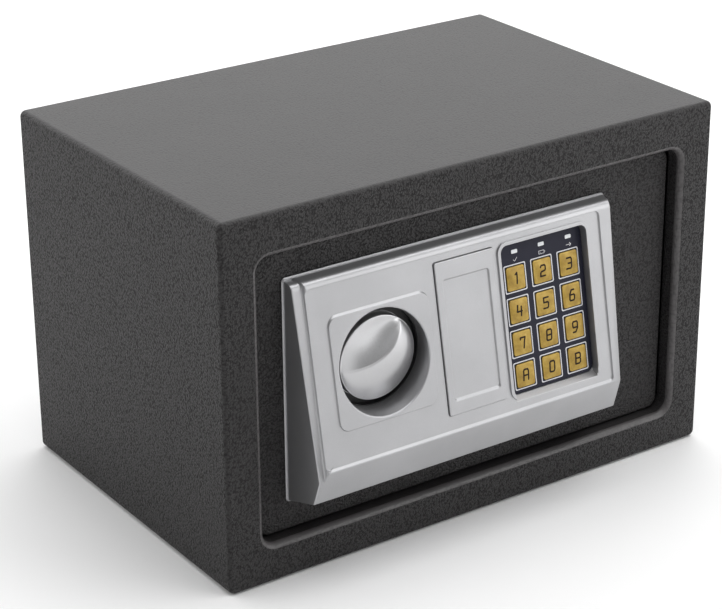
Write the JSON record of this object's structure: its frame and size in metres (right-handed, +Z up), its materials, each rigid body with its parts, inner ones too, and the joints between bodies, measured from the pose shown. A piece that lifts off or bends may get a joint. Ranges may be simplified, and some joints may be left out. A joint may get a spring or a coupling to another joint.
{
  "type": "in room safe",
  "caption": "Steel box safe with a hinged door, turn knob, emergency key cover, keypad with pressable keys, sliding bolts and a battery compartment.",
  "frame": {"origin": "centre of the cabinet's flat base, at the height of the surface it stands on", "axes": "+Z up; +Y towards the back, so the door faces -Y; +X to the right seen from the front; metres"},
  "size_m": [0.31, 0.2235, 0.2],
  "materials": {
    "charcoal_paint": "textured powder coat, satin",
    "silver_paint": "fine metallic silver, satin",
    "knob_plating": "bright satin plating",
    "plated_steel": "zinc plated",
    "brass": "turned",
    "keypad_film": "satin film with printed silver key frames",
    "gold_key": "gold domed film",
    "lamp_window": "translucent white",
    "board": "green solder mask",
    "black_plastic": "moulded",
    "red_plastic": "moulded",
    "felt": "needle felt",
    "cell_wrap": "printed wrap, plain",
    "coil_tape": "amber winding tape"
  },
  "bodies": {
    "cabinet": {"cabinet_shell": "charcoal_paint", "front_frame": "charcoal_paint", "back_panel": "charcoal_paint", "hinge_bracket_upper": "plated_steel", "hinge_bracket_lower": "plated_steel", "strike_plate": "plated_steel", "floor_mat": "felt"},
    "door": {"door_plate": "charcoal_paint", "hinge_pin_upper": "plated_steel", "hinge_pin_lower": "plated_steel", "lock_cover": "charcoal_paint", "bezel": "silver_paint", "keypad_overlay": "keypad_film", "control_board": "board", "led_ready": "lamp_window", "led_low_battery": "lamp_window", "led_proceed": "lamp_window", "key_cylinder": "brass", "cylinder_nut": "plated_steel", "solenoid_frame": "plated_steel", "solenoid_coil": "coil_tape", "solenoid_spring": "plated_steel", "battery_box": "black_plastic", "battery_1": "cell_wrap", "battery_2": "cell_wrap", "battery_3": "cell_wrap", "battery_4": "cell_wrap", "cover_screw_1": "plated_steel", "cover_screw_2": "plated_steel", "cover_screw_3": "plated_steel", "cover_screw_4": "plated_steel", "guide_screw_upper": "plated_steel", "guide_screw_lower": "plated_steel", "reset_board": "board", "battery_lead": "black_plastic", "solenoid_lead": "black_plastic"},
    "knob": {"knob": "knob_plating", "knob_shaft": "plated_steel", "drive_cam": "plated_steel"},
    "boltwork": {"bolt_carriage": "plated_steel", "bolt_upper": "plated_steel", "bolt_lower": "plated_steel"},
    "plunger": {"plunger": "plated_steel"},
    "override_cover": {"override_cover": "silver_paint"},
    "lock_plug": {"lock_plug": "brass", "override_cam": "plated_steel"},
    "battery_lid": {"battery_lid": "black_plastic"},
    "reset_button": {"reset_button": "red_plastic"},
    "key_1": {"key_1": "gold_key"},
    "key_2": {"key_2": "gold_key"},
    "key_3": {"key_3": "gold_key"},
    "key_4": {"key_4": "gold_key"},
    "key_5": {"key_5": "gold_key"},
    "key_6": {"key_6": "gold_key"},
    "key_7": {"key_7": "gold_key"},
    "key_8": {"key_8": "gold_key"},
    "key_9": {"key_9": "gold_key"},
    "key_a": {"key_a": "gold_key"},
    "key_0": {"key_0": "gold_key"},
    "key_b": {"key_b": "gold_key"}
  },
  "joints": [
    {"name": "door_hinge", "type": "hinge", "parent": "cabinet", "child": "door", "pos_m": [0.122, -0.0881, 0.099], "axis": [0, 0, 1], "range_deg": [0, 100]},
    {"name": "knob_turn", "type": "hinge", "parent": "door", "child": "knob", "pos_m": [-0.0674, -0.1057, 0.1098], "axis": [0, -1, 0], "range_deg": [0, 90]},
    {"name": "bolt_throw", "type": "slide", "parent": "door", "child": "boltwork", "axis": [-1, 0, 0], "range_m": [0, 0.012]},
    {"name": "plunger_drop", "type": "slide", "parent": "door", "child": "plunger", "axis": [0, 0, -1], "range_m": [0, 0.006], "deforming": ["solenoid_spring"]},
    {"name": "cover_lift", "type": "slide", "parent": "door", "child": "override_cover", "axis": [0, -0.982, 0.1887], "range_m": [0, 0.03]},
    {"name": "key_turn", "type": "hinge", "parent": "door", "child": "lock_plug", "pos_m": [-0.0131, -0.107, 0.11], "axis": [0, 1, 0], "range_deg": [0, 90]},
    {"name": "battery_lid_lift", "type": "slide", "parent": "door", "child": "battery_lid", "axis": [0, 1, 0], "range_m": [0, 0.03]},
    {"name": "reset_press", "type": "slide", "parent": "door", "child": "reset_button", "axis": [0, -1, 0], "range_m": [0, 0.002], "stiffness_N_per_m": 300, "springref_m": -0.0005},
    {"name": "press_1", "type": "slide", "parent": "door", "child": "key_1", "axis": [0, 0.982, -0.1887], "range_m": [0, 0.0005], "stiffness_N_per_m": 400, "springref_m": -0.0005},
    {"name": "press_2", "type": "slide", "parent": "door", "child": "key_2", "axis": [0, 0.982, -0.1887], "range_m": [0, 0.0005], "stiffness_N_per_m": 400, "springref_m": -0.0005},
    {"name": "press_3", "type": "slide", "parent": "door", "child": "key_3", "axis": [0, 0.982, -0.1887], "range_m": [0, 0.0005], "stiffness_N_per_m": 400, "springref_m": -0.0005},
    {"name": "press_4", "type": "slide", "parent": "door", "child": "key_4", "axis": [0, 0.982, -0.1887], "range_m": [0, 0.0005], "stiffness_N_per_m": 400, "springref_m": -0.0005},
    {"name": "press_5", "type": "slide", "parent": "door", "child": "key_5", "axis": [0, 0.982, -0.1887], "range_m": [0, 0.0005], "stiffness_N_per_m": 400, "springref_m": -0.0005},
    {"name": "press_6", "type": "slide", "parent": "door", "child": "key_6", "axis": [0, 0.982, -0.1887], "range_m": [0, 0.0005], "stiffness_N_per_m": 400, "springref_m": -0.0005},
    {"name": "press_7", "type": "slide", "parent": "door", "child": "key_7", "axis": [0, 0.982, -0.1887], "range_m": [0, 0.0005], "stiffness_N_per_m": 400, "springref_m": -0.0005},
    {"name": "press_8", "type": "slide", "parent": "door", "child": "key_8", "axis": [0, 0.982, -0.1887], "range_m": [0, 0.0005], "stiffness_N_per_m": 400, "springref_m": -0.0005},
    {"name": "press_9", "type": "slide", "parent": "door", "child": "key_9", "axis": [0, 0.982, -0.1887], "range_m": [0, 0.0005], "stiffness_N_per_m": 400, "springref_m": -0.0005},
    {"name": "press_a", "type": "slide", "parent": "door", "child": "key_a", "axis": [0, 0.982, -0.1887], "range_m": [0, 0.0005], "stiffness_N_per_m": 400, "springref_m": -0.0005},
    {"name": "press_0", "type": "slide", "parent": "door", "child": "key_0", "axis": [0, 0.982, -0.1887], "range_m": [0, 0.0005], "stiffness_N_per_m": 400, "springref_m": -0.0005},
    {"name": "press_b", "type": "slide", "parent": "door", "child": "key_b", "axis": [0, 0.982, -0.1887], "range_m": [0, 0.0005], "stiffness_N_per_m": 400, "springref_m": -0.0005}
  ],
  "couplings": [
    {"joint": "bolt_throw", "follows": "knob_turn", "m_per_rad": 0.0076394},
    {"joint": "plunger_drop", "follows": "knob_turn", "m_per_rad": 0.0038197}
  ]
}
